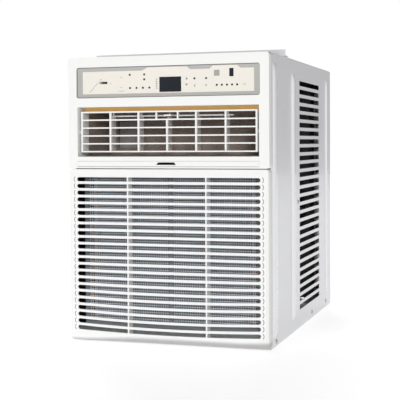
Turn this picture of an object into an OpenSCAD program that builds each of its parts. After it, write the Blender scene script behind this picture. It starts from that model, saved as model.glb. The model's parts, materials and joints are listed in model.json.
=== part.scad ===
// Window air conditioner, tall and narrow, for a sliding or casement window.
// X runs across the front, Y from the room side to the outdoor side, Z up.
// The origin is under the middle of the case, on the surface that it stands on.
// Depths (names ending in _y) are counted from the front face.

/* [Case] */
// Width over the front panel and over the ribs of the cabinet sides
case_w = 368; // [340:1:450]
// Depth from the front face to the rear edge
case_d = 560; // [530:1:680]
// Height of the steel cabinet
case_h = 508; // [490:1:620]
// Sheet steel thickness of the cabinet, base pan and bulkhead
sheet_t = 1.2; // [0.8:0.1:2]
// Height of the ribs pressed out of the cabinet sides
rib_h = 3; // [2:0.1:4]
// Height of the upright flange of the top rail
rail_h = 12; // [8:1:25]
// Depth at which the top rail stands
rail_y = 124; // [60:1:200]
// Height of the lip around the base pan
pan_lip = 25; // [15:1:30]

/* [Front] */
// Height of the upper front panel
upper_h = 196; // [190:1:240]
// Depth of the moulded front, back to where the cabinet starts
front_depth = 24; // [22:1:24]
// Wall thickness of the moulded front
wall = 3; // [2:0.5:4]
// Radius of the front panel's corners
corner_r = 5; // [2:1:10]
// Gap between the two front mouldings and under the lower one
seam = 1.5; // [0.5:0.5:3]
// Margin between the openings and the sides of the front
margin = 17.5; // [15:0.5:30]

/* [Controls] */
// Height of the control recess
recess_h = 54; // [50:1:60]
// Distance from the panel's top to the recess
recess_drop = 18; // [12:1:20]
// Travel of a membrane key
key_travel = 0.5; // [0.3:0.1:0.8]
// Width of a membrane key
key_w = 11; // [8:1:12]
// Height of a membrane key
key_h = 7; // [5:1:8]
// Travel of the vent lever
lever_travel = 10; // [6:1:12]

/* [Outlet] */
// Height of the air outlet
mouth_h = 87.5; // [85:0.5:95]
// Distance from the front panel's lower edge to the outlet
mouth_rise = 20.5; // [20:0.5:24]
// Gap between the louvre frame and the sides of the outlet
louvre_gap = 4.5; // [3:0.5:8]
// Height of the louvre frame
louvre_h = 72; // [70:1:74]
// Depth of the louvre frame
louvre_depth = 26; // [26:1:28]
// Depth of the louvre frame's pivot
louvre_pivot_y = 16; // [15:1:18]
// Chord of a deflector vane
vane_chord = 19; // [14:1:19]
// Distance from a vane's pivot to its crank pin
crank = 8; // [6:1:8]

/* [Intake] */
// Height of a slot in the intake grille
slot_h = 7.5; // [4:0.5:8]
// Distance from one slot to the next
slot_pitch = 12; // [10:0.1:16]
// Thickness of the air filter's frame
filter_t = 4; // [3:0.5:5]
// Lift of the air filter
filter_lift = 14; // [8:1:14]
// Height of the filter flap
flap_h = 9; // [8:0.5:9]

/* [Side louvres] */
// Height of a slot in the cabinet side
vent_h = 9.3; // [6:0.1:11]
// Distance from one side slot to the next
vent_pitch = 15.83; // [14:0.01:20]
// Depth at which the side slots start
vent_y0 = 249; // [240:1:280]
// Distance from the side slots' end to the rear edge
vent_back = 122; // [100:1:160]

/* [Air path] */
// Height of the fan shaft above the base
shaft_z = 220; // [210:1:230]
// Radius of the fan shaft
shaft_r = 4; // [3:0.5:6]
// Radial clearance of a shaft or pin in its bearing
running = 0.06; // [0.02:0.01:0.1]
// Radius of the blower wheel
wheel_r = 88; // [70:1:90]
// Radius of the condenser fan over its slinger ring
fan_r = 144; // [120:1:148]
// Depth of the bulkhead between the room side and the outdoor side
bulkhead_y = 156; // [156:1:160]

/* [Cooling] */
// Radius of the coil tubes
tube_r = 4; // [3:0.5:5]
// Distance between tube rows in the evaporator
evap_pitch = 28; // [20:1:32]
// Distance between tube rows in the condenser
cond_pitch = 25; // [20:1:26]
// Radius of the compressor shell
comp_r = 52; // [40:1:52]
// Height of the compressor's top above the base
comp_top = 270; // [200:1:275]

/* [Hidden] */
$fn = 48;

// Case
half_w = case_w / 2;
cab_x = half_w - rib_h;
inner_x = cab_x - sheet_t;
front_top = case_h - 2;
seam_z = front_top - upper_h;
rib_z0 = 30;
rib_z1 = case_h - 17;
rib_w = 16;
rib_ring_y0 = front_depth + 4;
rib_ring_y1 = 202;
rib_ring_z0 = 18;
rib_ring_r = 22;
rear_rib_y = case_d - 45;
rear_y = case_d - 2;
pan_y0 = front_depth + 1;

// Control panel: bezel, overlay and what shows through them, from the recess's centre
recess_z1 = front_top - recess_drop;
recess_z0 = recess_z1 - recess_h;
recess_x = half_w - margin + 1.5;
recess_z = (recess_z0 + recess_z1) / 2;
bezel_lip = 4;
bezel_t = 5;
board_y = wall + bezel_t + 4;
board_t = 1.6;
film_t = 0.5;
key_gap = 0.3;
display_x = 8;
display_size = [40, 26];
display_z = recess_z - 5.5;
ir_x = 118;
ir_size = [7.5, 14];
ir_z = recess_z + 12.5;
lever_x = -124;
lever_w = 4;
lever_h = 3;
lever_z = recess_z - 0.5;
// Each key: its place across, and its height from the middle of the recess
KEYS = [[-83, 8], [-83, -9.5], [38, 4], [38, -7], [73, -9], [53, -9], [141, -8]];
// Each indicator light, in the same way
LIGHTS = concat([[-67, 12.5], [-40, 12.5], [-40, 4], [52, 3.5], [73, 3.5]],
                [for (i = [0:3]) [-66.5 + 12 * i, -10.5]],
                [for (i = [0:4]) [92 + 9 * i, -8.5]]);
light_r = 1.1;

// Outlet, louvre frame and vanes
mouth_x = half_w - margin;
mouth_z0 = seam_z + mouth_rise;
mouth_z1 = mouth_z0 + mouth_h;
mouth_back = 45;
louvre_x = mouth_x - louvre_gap;
louvre_z = (mouth_z0 + mouth_z1) / 2;
louvre_y0 = 6;
louvre_y1 = louvre_y0 + louvre_depth;
louvre_rail = 2.4;
louvre_side = 3;
slat_t = 2.4;
stile_t = 3;
slat_y1 = louvre_y0 + 5;
louvre_bays = 6;
bay = 2 * (louvre_x - louvre_side) / louvre_bays;
louvre_pin_r = 3.5;
seal_h = 7;
vane_y = 22;
vane_t = 1.6;
vane_pin_r = 1.5;
crank_pin_r = 1.2;
vane_z0 = louvre_z - louvre_h / 2 + louvre_rail + 0.7;
vane_z1 = louvre_z + louvre_h / 2 - louvre_rail - 8;
link_z0 = vane_z1 + 1;
link_t = 2.5;
link_play = 0.2;
vane_swing = 25;
// Room in the link's tab for the middle vane's pivot pin, each way along the travel
pin_notch = crank * sin(vane_swing) + 2 * link_play + vane_pin_r + running;
tab_x0 = -4.5;
tab_x1 = pin_notch + 3;
tab_window = 37;

// Intake: slots, flap and filter
grille_x = half_w - 1.5;
grille_z0 = 2 * seam;
grille_z1 = seam_z - seam;
grille_depth = front_depth;
slot_x = grille_x - 14;
slot_border = 18;
slot_top_z = grille_z1 - slot_border;
slot_count = floor((slot_top_z - grille_z0 - slot_border) / slot_pitch) + 1;
divider_x = 72;
divider_w = 2.5;
divider_depth = 17;
flap_x = mouth_x;
flap_z0 = seam_z + 3.4;
flap_pin_r = 1.2;
flap_pin_y = 1.8;
flap_t = 3;
flap_pin_z = flap_z0 + 2;
notch_w = 36;
notch_rise = 2.7;
notch_slant = 3;
flap_gap = 0.4;
filter_y = front_depth + 0.3;
filter_x = slot_x - 4;
filter_z0 = pan_lip + 2;
filter_z1 = mouth_z0 - wall - 1.5 - filter_lift;
filter_rail = 8;
net_t = 0.6;

// Side louvres
vent_top_z = case_h - 42;
vent_count = floor((vent_top_z - 38) / vent_pitch) + 1;
vent_y1 = case_d - vent_back;

// Evaporator and condenser: two columns of tubes each
plate_t = 1.5;
fin_t = 0.6;
evap_x = mouth_x - 20;
coil_z0 = 30;
evap_rows = 2 * floor((seam_z + 2 - coil_z0) / (2 * evap_pitch));
evap_y = [33, 75];
evap_z = [coil_z0, coil_z0 + evap_rows * evap_pitch];
cond_x = inner_x - 22;
cond_y = [case_d - 58, case_d - 16];
cond_rows = 2 * floor((case_h - 20 - coil_z0) / (2 * cond_pitch));
cond_z = [coil_z0, coil_z0 + cond_rows * cond_pitch];
fin_gap = 10;

// Blower housing and bulkhead
housing_y0 = 79;
housing_t = 2;
housing_y1 = bulkhead_y - 2;
scroll_small = wheel_r + 12;
scroll_growth = 35;
neck_z = mouth_z0 - 2;
duct_wall = 3;
duct_x = mouth_x - 2;
wheel_y0 = housing_y0 + 7;
wheel_y1 = housing_y1 - 8;
bulkhead_x = inner_x - 1;
vent_door_x = [-150, -110];
vent_door_z = [mouth_z0 + 15, mouth_z1 - 23];
door_pin_r = 1.5;
door_pin_y = bulkhead_y + 7;
door_pin_z = vent_door_z[1] + 4;
cable_x = -130;
cable_r = 2;
cable_hole_z = recess_z - 30;

// Motor, fan and compressor
motor_r = 60;
motor_y = [195, 275];
cond_fan_y = [cond_y[0] - 44, cond_y[0] - 12];
shroud_y0 = cond_y[0] - 50;
comp_pos = [-118, 230];
comp_z0 = 40;
comp_lift = 16;
stud_r = 3.5;
stud_ring = 44;
nut_t = 5;
foot_t = 3;
accu_pos = [-135, 318];
accu_r = 20;
accu_z = [60, 200];
pipe_x = inner_x - 9;
pipe_end_x = pipe_x - 5;
suction_r = 4;
suction_z = 120;
suction_y = 171;
capillary_r = 2;
capillary_z = 33;
// Heights of the tube ends that the refrigerant lines join
evap_free_z = row_z(evap_z, evap_rows, 0);
cond_free_z = row_z(cond_z, cond_rows, cond_rows - 1);
joint_swell = 0.4;

// Box of the electrics
box_x = [20, half_w - 20];
box_y = [30, 110];

// Fasteners and ports
screw_r = 2;
screw_head_r = 4.2;
screw_head_t = 1.5;
// Screws on each cabinet side: depth and height
SIDE_SCREWS = [[58.5, 8], [235, 241], [case_d - 199, 11.5], [case_d - 54, 12.6]];
rail_screw_x = half_w - 34;
rail_foot = 24;
rail_x = half_w - 1;
rail_t = 1.5;
rail_hole_r = 2.5;
rail_hole_x = 120;
pan_hole_x = 140;
pan_hole_y = [100, case_d - 100];
pan_hole_r = 3;
drain_x = 120;
drain_z = 13;
drain_r = 6;
gland_y = 110;
gland_z = 46;
gland_r = 4.5;

// --- Helpers -----------------------------------------------------------------------------

// Moves what is drawn in depths from the front face into the part's own frame
module from_front() translate([0, -case_d / 2, 0]) children();

module slab(a, b) translate(a) cube(b - a);

// Extrudes an outline drawn in X and Z along Y
module along_y(y0, y1) translate([0, y1, 0]) rotate([90, 0, 0]) linear_extrude(y1 - y0) children();

// Extrudes an outline drawn in Y and Z along X
module along_x(x0, x1) translate([x0, 0, 0]) rotate([90, 0, 90]) linear_extrude(x1 - x0) children();

module rect(a, b) translate(a) square(b - a);

module rounded(a, b, r) {
    rect(a + [r, 0], b - [r, 0]);
    rect(a + [0, r], b - [0, r]);
    for (x = [a.x + r, b.x - r], y = [a.y + r, b.y - r]) translate([x, y]) circle(r);
}

module rod_y(x, z, y0, y1, r) translate([x, y0, z]) rotate([-90, 0, 0]) cylinder(h = y1 - y0, r = r);

module rod_x(y, z, x0, x1, r) translate([x0, y, z]) rotate([0, 90, 0]) cylinder(h = x1 - x0, r = r);

module both_sides() for (side = [0, 1]) mirror([side, 0, 0]) children();

// A pipe through the given points, with a slightly swollen joint at each bend
module pipe(points, r) {
    for (i = [0:len(points) - 2]) {
        run = points[i + 1] - points[i];
        translate(points[i]) rotate([0, acos(run.z / norm(run)), atan2(run.y, run.x)])
            cylinder(h = norm(run), r = r);
    }
    for (i = [1:len(points) - 2]) translate(points[i]) rotate([50, 20, 0]) sphere(r + joint_swell);
}

// --- Cabinet -----------------------------------------------------------------------------

module side_screw_holes(r)
    for (s = SIDE_SCREWS) both_sides() rod_x(s[0], s[1], inner_x - 4, half_w + 1, r);

module base_pan() from_front() color("gainsboro") {
    difference() {
        slab([-inner_x, pan_y0, 0], [inner_x, rear_y, pan_lip]);
        slab([sheet_t - inner_x, pan_y0 + sheet_t, sheet_t],
             [inner_x - sheet_t, rear_y - sheet_t, pan_lip + 1]);
        for (x = [-pan_hole_x, pan_hole_x], y = pan_hole_y)
            translate([x, y, -1]) cylinder(h = sheet_t + 2, r = pan_hole_r);
        side_screw_holes(screw_r);
        rod_y(drain_x, drain_z, rear_y - 3, rear_y + 1, drain_r + 2);
    }
    comp_studs() translate([0, 0, sheet_t]) cylinder(h = comp_lift + foot_t + nut_t + 4, r = stud_r);
}

module side_sheet() difference() {
    rect([front_depth, 0], [case_d, case_h]);
    for (i = [0:vent_count - 1]) let (z = vent_top_z - i * vent_pitch)
        rounded([vent_y0, z - vent_h / 2], [vent_y1, z + vent_h / 2], 2);
    for (s = SIDE_SCREWS) translate(s) circle(screw_r);
}

// The closed rib on the front half of each side
module rib_ring_outline() difference() {
    rounded([rib_ring_y0, rib_ring_z0], [rib_ring_y1, rib_z1], rib_ring_r);
    rounded([rib_ring_y0 + rib_w, rib_ring_z0 + rib_w],
            [rib_ring_y1 - rib_w, rib_z1 - rib_w], rib_ring_r - rib_w);
}

module cabinet_wrap() from_front() color("whitesmoke") {
    difference() {
        both_sides() {
            along_x(inner_x, cab_x) side_sheet();
            along_x(cab_x, half_w) {
                rib_ring_outline();
                rect([rear_rib_y - rib_w / 2, rib_z0], [rear_rib_y + rib_w / 2, rib_z1]);
            }
        }
        rod_x(gland_y, gland_z, -half_w - 1, -inner_x + 1, gland_r + 3);
    }
    difference() {
        slab([-inner_x, front_depth, case_h - sheet_t], [inner_x, case_d, case_h]);
        both_sides() translate([rail_screw_x, rail_y + rail_foot / 2, case_h - 9])
            cylinder(h = 10, r = screw_r);
    }
}

module top_rail() from_front() color("whitesmoke") difference() {
    union() {
        slab([-rail_x, rail_y, case_h], [rail_x, rail_y + rail_foot, case_h + rail_t]);
        slab([-rail_x, rail_y, case_h], [rail_x, rail_y + rail_t, case_h + rail_h]);
    }
    both_sides() translate([rail_screw_x, rail_y + rail_foot / 2, case_h - 1])
        cylinder(h = rail_t + 2, r = screw_r);
    both_sides() rod_y(rail_hole_x, case_h + rail_h / 2 + 1, rail_y - 1, rail_y + 3, rail_hole_r);
}

// A pan-head screw, its head at the origin and its shank pointing down
module screw() {
    difference() {
        cylinder(h = screw_head_t, r = screw_head_r);
        for (turn = [0, 90]) rotate([0, 0, turn]) translate([-2.5, -0.5, 0.7]) cube([5, 1, 2]);
    }
    translate([0, 0, -6]) cylinder(h = 6, r = screw_r);
}

module cabinet_screws() from_front() color("silver") {
    for (s = SIDE_SCREWS) both_sides() translate([cab_x, s[0], s[1]]) rotate([0, 90, 0]) screw();
    both_sides() translate([rail_screw_x, rail_y + rail_foot / 2, case_h + rail_t]) screw();
}

// --- Front -------------------------------------------------------------------------------

module front_panel() from_front() color("white") difference() {
    union() {
        difference() {
            along_y(0, front_depth) rounded([-half_w, seam_z], [half_w, front_top], corner_r);
            along_y(wall, front_depth + 1)
                rounded([wall - half_w, seam_z + wall], [half_w - wall, front_top - wall], corner_r - wall);
        }
        along_y(wall, mouth_back)
            rect([-mouth_x - wall, mouth_z0 - wall], [mouth_x + wall, mouth_z1 + wall]);
    }
    along_y(-1, mouth_back + 1) rect([-mouth_x, mouth_z0], [mouth_x, mouth_z1]);
    along_y(-1, wall + 1) rounded([-recess_x, recess_z0], [recess_x, recess_z1], 4);
    along_y(-1, wall + 1) rect([-flap_x, flap_z0 - 0.6], [flap_x, flap_z0 + flap_h + 0.4]);
    rod_x(flap_pin_y, flap_pin_z, -flap_x - 4, flap_x + 4, flap_pin_r + running);
    rod_x(louvre_pivot_y, louvre_z, -mouth_x - wall - 1, mouth_x + wall + 1,
          louvre_pin_r + running);
    slab([-filter_x - 1, filter_y - 0.5, seam_z - 1],
         [filter_x + 1, front_depth + 1, seam_z + wall + 1]);
}

module grille_face() difference() {
    rounded([-grille_x, grille_z0], [grille_x, grille_z1], corner_r);
    slot_end_x = slot_x - slot_h / 2;
    for (i = [0:slot_count - 1]) translate([0, slot_top_z - i * slot_pitch]) {
        for (run = [[-slot_end_x, -divider_x - divider_w / 2],
                    [divider_w / 2 - divider_x, divider_x - divider_w / 2],
                    [divider_x + divider_w / 2, slot_end_x]])
            rect([run[0], -slot_h / 2], [run[1], slot_h / 2]);
        both_sides() translate([slot_end_x, 0]) circle(slot_h / 2, $fn = 16);
    }
}

module intake_grille() from_front() color("white") {
    along_y(0, wall) grille_face();
    along_y(wall, grille_depth) difference() {
        rounded([-grille_x, grille_z0], [grille_x, grille_z1], corner_r);
        rounded([wall - grille_x, grille_z0 + wall], [grille_x - wall, grille_z1 - wall], 2);
    }
    both_sides() slab([divider_x - divider_w / 2, wall, grille_z0 + 8],
                      [divider_x + divider_w / 2, wall + divider_depth, grille_z1 - 8]);
}

module at_each(places) for (p = places) translate([p[0], recess_z + p[1]]) children();

module key_outline(gap) square([key_w + 2 * gap, key_h + 2 * gap], center = true);

module window_outline(x, z, size) translate([x, z]) square(size, center = true);

module lever_slot() rect([lever_x - 0.5, lever_z - lever_h / 2 - 0.5],
                         [lever_x + lever_travel + lever_w + 0.5, lever_z + lever_h / 2 + 0.5]);

module control_bezel() from_front() color("lightgray") {
    difference() {
        along_y(wall, wall + bezel_t)
            rect([-recess_x - bezel_lip, recess_z0 - bezel_lip],
                 [recess_x + bezel_lip, recess_z1 + bezel_lip]);
        along_y(wall - 1, wall + bezel_t - 0.8) at_each(KEYS) key_outline(key_gap);
        along_y(wall - 1, wall + bezel_t + 1) {
            window_outline(display_x, display_z, display_size);
            window_outline(ir_x, ir_z, ir_size);
            lever_slot();
            at_each(LIGHTS) circle(light_r);
        }
    }
    both_sides() for (z = [recess_z0 + 3, recess_z1 - 3])
        rod_y(recess_x - 20, z, wall + bezel_t, wall + bezel_t + 4, 2.5);
}

// Outline of the printed film, with its stepped upper edge
module film_outline() {
    low = recess_z1 - 7.5;
    high = recess_z1 - 2.5;
    x0 = -recess_x + 11.5;
    x1 = recess_x - 10.5;
    polygon([[x0, recess_z0 + 7], [x1, recess_z0 + 7], [x1, low], [134, low], [128, high], [85, high],
             [79, low], [44, low], [38, high], [-34, high], [-44, low], [x0, low]]);
}

module control_overlay() from_front() color("linen") along_y(wall - film_t, wall) difference() {
    film_outline();
    at_each(KEYS) key_outline(key_gap);
    window_outline(display_x, display_z, display_size);
    window_outline(ir_x, ir_z, ir_size);
    lever_slot();
    at_each(LIGHTS) circle(light_r);
}

module display_window() from_front() color("darkslateblue")
    along_y(wall - 0.8, wall + bezel_t) window_outline(display_x, display_z, display_size);

module ir_window() from_front() color("dimgray")
    along_y(wall - 0.8, wall + bezel_t) window_outline(ir_x, ir_z, ir_size);

module indicator_lights() from_front() color("olivedrab")
    along_y(wall - 0.7, wall + bezel_t) at_each(LIGHTS) circle(light_r);

module control_key(i) from_front() color("linen")
    along_y(wall - 1, wall + bezel_t - 0.8 - key_travel - 0.2) at_each([KEYS[i]]) key_outline(0);

module key_fan() control_key(0);
module key_mode() control_key(1);
module key_up() control_key(2);
module key_down() control_key(3);
module key_timer() control_key(4);
module key_sleep() control_key(5);
module key_power() control_key(6);

module control_board() from_front() color("darkgreen") difference() {
    along_y(board_y, board_y + board_t) rect([10 - recess_x, recess_z0], [recess_x - 10, recess_z1]);
    slab([lever_x - 5, board_y - 1, lever_z - 8], [lever_x + lever_travel + 9, board_y + 3, lever_z + 8]);
}

module vent_lever() from_front() color("lightgray") {
    slab([lever_x, 0.3, lever_z - lever_h / 2], [lever_x + lever_w, board_y + 8, lever_z + lever_h / 2]);
    slab([lever_x - 2, board_y + 3, lever_z - 5], [lever_x + lever_w + 2, board_y + 5, lever_z + 5]);
}

// --- Outlet ------------------------------------------------------------------------------

function vane_x(i) = (i - (louvre_bays - 2) / 2) * bay;

module louvre_frame() from_front() color("white") {
    half_h = louvre_h / 2;
    difference() {
        slab([-louvre_x, louvre_y0, louvre_z - half_h], [louvre_x, louvre_y1, louvre_z + half_h]);
        slab([louvre_side - louvre_x, louvre_y0 - 1, louvre_z - half_h + louvre_rail],
             [louvre_x - louvre_side, louvre_y1 + 1, louvre_z + half_h - louvre_rail]);
        for (i = [0:louvre_bays - 2]) translate([vane_x(i), vane_y, louvre_z - half_h - 1])
            cylinder(h = louvre_h + 2, r = vane_pin_r + running);
    }
    gap = (louvre_h - louvre_rail) / 5;
    for (i = [1:4]) let (z = louvre_z - half_h + louvre_rail / 2 + i * gap)
        slab([louvre_side - louvre_x, louvre_y0, z - slat_t / 2],
             [louvre_x - louvre_side, slat_y1, z + slat_t / 2]);
    for (i = [0:louvre_bays - 2]) let (middle = i == (louvre_bays - 2) / 2)
        slab([vane_x(i) - stile_t / 2, louvre_y0, louvre_z - half_h + louvre_rail],
             [vane_x(i) + stile_t / 2, slat_y1, louvre_z + half_h - louvre_rail - (middle ? gap : 0)]);
    both_sides() slab([tab_window / 2, louvre_y0, louvre_z + half_h - louvre_rail - gap],
                      [tab_window / 2 + slat_t, slat_y1, louvre_z + half_h - louvre_rail]);
    both_sides() rod_x(louvre_pivot_y, louvre_z, louvre_x, mouth_x + wall - 0.5, louvre_pin_r);
}

module vane(i) from_front() color("white") translate([vane_x(i), vane_y, 0]) {
    slab([-vane_t / 2, -vane_chord / 2, vane_z0], [vane_t / 2, vane_chord / 2, vane_z1]);
    translate([0, 0, vane_z0 - 0.7 - louvre_rail]) cylinder(h = 0.7 + louvre_rail, r = vane_pin_r);
    translate([0, 0, vane_z1]) cylinder(h = 8 + louvre_rail - 0.3, r = vane_pin_r);
    translate([0, crank, vane_z1]) cylinder(h = link_t + 1.4, r = crank_pin_r);
}

module vane_1() vane(0);
module vane_2() vane(1);
module vane_3() vane(2);
module vane_4() vane(3);
module vane_5() vane(4);

module vane_link() from_front() color("white") {
    slot_half = crank_pin_r + link_play;
    link_y = vane_y + crank;
    difference() {
        slab([vane_x(0) - 8, link_y - 3.8, link_z0], [vane_x(4) + 8, link_y + 3.8, link_z0 + link_t]);
        for (i = [0:louvre_bays - 2])
            slab([vane_x(i) - slot_half, link_y - 2.4, link_z0 - 1],
                 [vane_x(i) + slot_half, link_y + 2.4, link_z0 + link_t + 1]);
    }
    difference() {
        slab([tab_x0, 3, link_z0], [tab_x1, link_y - 3.8, link_z0 + link_t]);
        slab([-pin_notch, vane_y - vane_pin_r - 0.5, link_z0 - 1],
             [pin_notch, vane_y + vane_pin_r + 0.5, link_z0 + link_t + 1]);
    }
}

module outlet_duct() from_front() color("lightgray") along_y(mouth_back, housing_y0) difference() {
    rect([-duct_x - duct_wall, mouth_z0 - 1], [duct_x + duct_wall, mouth_z1 + 1]);
    rect([-duct_x, mouth_z0 + duct_wall - 1], [duct_x, mouth_z1 - duct_wall + 1]);
}

module outlet_seal() from_front() color("peru")
    slab([-mouth_x, louvre_y1 + 2, mouth_z1 - seal_h], [mouth_x, mouth_back, mouth_z1]);

// --- Intake ------------------------------------------------------------------------------

module filter_flap() from_front() color("white") {
    difference() {
        slab([flap_gap - flap_x, flap_pin_y - flap_t / 2, flap_z0],
             [flap_x - flap_gap, flap_pin_y + flap_t / 2, flap_z0 + flap_h]);
        along_y(-1, flap_pin_y + flap_t) translate([0, flap_z0])
            polygon([[-notch_w / 2, notch_rise], [notch_w / 2, notch_rise],
                     [notch_w / 2 - notch_slant, flap_h - 2], [notch_slant - notch_w / 2, flap_h - 2]]);
    }
    both_sides() rod_x(flap_pin_y, flap_pin_z, flap_x - flap_gap, flap_x + 3, flap_pin_r);
}

module filter_outline(inset)
    rect([inset - filter_x, filter_z0 + inset], [filter_x - inset, filter_z1 - inset]);

module filter_frame() from_front() color("whitesmoke") {
    along_y(filter_y, filter_y + filter_t) {
        difference() {
            filter_outline(0);
            filter_outline(filter_rail);
        }
        rect([-filter_rail / 2, filter_z0 + 1], [filter_rail / 2, filter_z1 - 1]);
    }
}

module filter_net() from_front() color("slategray")
    along_y(filter_y + filter_t / 2 - net_t / 2, filter_y + filter_t / 2 + net_t / 2) difference() {
        filter_outline(filter_rail);
        rect([-filter_rail / 2, 0], [filter_rail / 2, case_h]);
    }

// --- Coils -------------------------------------------------------------------------------

// Places of the tubes in Y and Z: two columns of the given number of rows
function column_y(span, column) = span[0] + (column + 0.5) * (span[1] - span[0]) / 2;
function row_z(span, rows, row) = span[0] + (row + 0.5) * (span[1] - span[0]) / rows;

module tube_holes(span_y, span_z, rows)
    for (c = [0, 1], i = [0:rows - 1]) translate([column_y(span_y, c), row_z(span_z, rows, i)])
        circle(tube_r);

module coil_sheet(span_y, span_z, rows) difference() {
    rect([span_y[0], span_z[0]], [span_y[1], span_z[1]]);
    tube_holes(span_y, span_z, rows);
}

module coil_fins(half, span_y, span_z, rows) {
    count = floor(2 * (half - 5) / fin_gap);
    for (i = [0:count]) let (x = (i - count / 2) * fin_gap)
        along_x(x - fin_t / 2, x + fin_t / 2) coil_sheet(span_y, span_z, rows);
}

// End plates, which stand on the base pan
module coil_plates(half, span_y, span_z, rows)
    both_sides() along_x(half, half + plate_t) {
        coil_sheet(span_y, span_z, rows);
        rect([span_y[0], sheet_t], [span_y[1], span_z[0]]);
    }

// A half-circle return bend, from the origin up to the given height, bulging towards +X
module return_bend(height) translate([0, 0, height / 2]) rotate([90, 0, 0])
    rotate_extrude(angle = 180, start = -90) translate([height / 2, 0]) circle(tube_r);

// Straight tubes joined end to end by return bends; the two columns meet at one end,
// where cross_row is, and the coil's two open ends are at free_row, on the left
module coil_tubes(half, span_y, span_z, rows, cross_row, free_row) {
    end = half + plate_t;
    step = (span_z[1] - span_z[0]) / rows;
    for (c = [0, 1]) {
        for (i = [0:rows - 1]) let (left = i == free_row ? pipe_end_x : end)
            rod_x(column_y(span_y, c), row_z(span_z, rows, i), -left, end, tube_r);
        for (i = [0:2:rows - 2])
            translate([end, column_y(span_y, c), row_z(span_z, rows, i)]) return_bend(step);
        for (i = [1:2:rows - 3])
            translate([-end, column_y(span_y, c), row_z(span_z, rows, i)]) mirror([1, 0, 0])
                return_bend(step);
    }
    translate([-end, column_y(span_y, 1), row_z(span_z, rows, cross_row)])
        rotate([90, 0, 0]) mirror([1, 0, 0]) return_bend(column_y(span_y, 1) - column_y(span_y, 0));
}

module evaporator_fins() from_front() color("lightsteelblue")
    coil_fins(evap_x, evap_y, evap_z, evap_rows);
module evaporator_plates() from_front() color("silver")
    coil_plates(evap_x, evap_y, evap_z, evap_rows);
module evaporator_tubes() from_front() color("peru")
    coil_tubes(evap_x, evap_y, evap_z, evap_rows, evap_rows - 1, 0);
module condenser_fins() from_front() color("silver")
    coil_fins(cond_x, cond_y, cond_z, cond_rows);
module condenser_plates() from_front() color("silver")
    coil_plates(cond_x, cond_y, cond_z, cond_rows);
module condenser_tubes() from_front() color("peru")
    coil_tubes(cond_x, cond_y, cond_z, cond_rows, 0, cond_rows - 1);

// --- Blower ------------------------------------------------------------------------------

// The housing's outline: a scroll that widens clockwise, under a plenum as wide as the duct
module scroll_outline(grow) {
    top = mouth_z1 + 2;
    w = mouth_x + grow;
    curve = [for (a = [160:10:380]) let (r = scroll_small + scroll_growth * (380 - a) / 220 + grow)
             [r * cos(a), shaft_z + r * sin(a)]];
    polygon(concat([[-w, top + grow], [-w, neck_z]], curve, [[w, neck_z], [w, top + grow]]));
}

module scroll_housing() from_front() color("whitesmoke") difference() {
    along_y(housing_y0, housing_y1) scroll_outline(housing_t);
    along_y(housing_y0 + housing_t, housing_y1 - housing_t) scroll_outline(0);
    rod_y(0, shaft_z, housing_y0 - 1, housing_y0 + housing_t + 1, wheel_r - 14);
    rod_y(0, shaft_z, housing_y1 - housing_t - 1, housing_y1 + 1, shaft_r + 8);
    along_y(housing_y0 - 1, housing_y0 + housing_t + 1)
        rect([-duct_x, mouth_z0 + duct_wall - 1], [duct_x, mouth_z1 - duct_wall + 1]);
    along_y(housing_y1 - housing_t - 1, housing_y1 + 1)
        rect([vent_door_x[0], vent_door_z[0]], [vent_door_x[1], vent_door_z[1]]);
}

module blower_wheel() from_front() color("dimgray") translate([0, 0, shaft_z]) {
    blades = 30;
    rim = 12;
    rotate([-90, 0, 0]) {
        difference() {
            translate([0, 0, wheel_y0]) cylinder(h = 2.5, r = wheel_r);
            translate([0, 0, wheel_y0 - 1]) cylinder(h = 5, r = wheel_r - rim);
        }
        difference() {
            union() {
                translate([0, 0, wheel_y1 - 2.5]) cylinder(h = 2.5, r = wheel_r);
                translate([0, 0, wheel_y1 - 22]) cylinder(h = 20, r = 12);
            }
            translate([0, 0, wheel_y1 - 23]) cylinder(h = 24, r = shaft_r);
        }
        for (i = [0:blades - 1]) rotate([0, 0, i * 360 / blades]) translate([wheel_r - 7, 0, wheel_y0 + 1])
            rotate([0, 0, 35]) translate([-5, -0.5, 0]) cube([10, 1, wheel_y1 - wheel_y0 - 2]);
    }
}

module fan_shaft() from_front() color("silver")
    rod_y(0, shaft_z, wheel_y1 - 26, cond_fan_y[1] - 4, shaft_r);

module fan_motor() from_front() color("gray") difference() {
    union() {
        rod_y(0, shaft_z, motor_y[0] + 8, motor_y[1] - 8, motor_r);
        rod_y(0, shaft_z, motor_y[0], motor_y[1], motor_r - 12);
        rod_y(0, shaft_z, motor_y[0] - 8, motor_y[1] + 8, 14);
    }
    rod_y(0, shaft_z, motor_y[0] - 9, motor_y[1] + 9, shaft_r + running);
}

module motor_bracket() from_front() color("silver") difference() {
    slab([-50, motor_y[0] + 20, sheet_t], [50, motor_y[1] - 20, shaft_z - 20]);
    rod_y(0, shaft_z, motor_y[0], motor_y[1], motor_r);
    slab([-40, motor_y[0], sheet_t + 3], [40, motor_y[1], shaft_z - motor_r - 12]);
}

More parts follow.
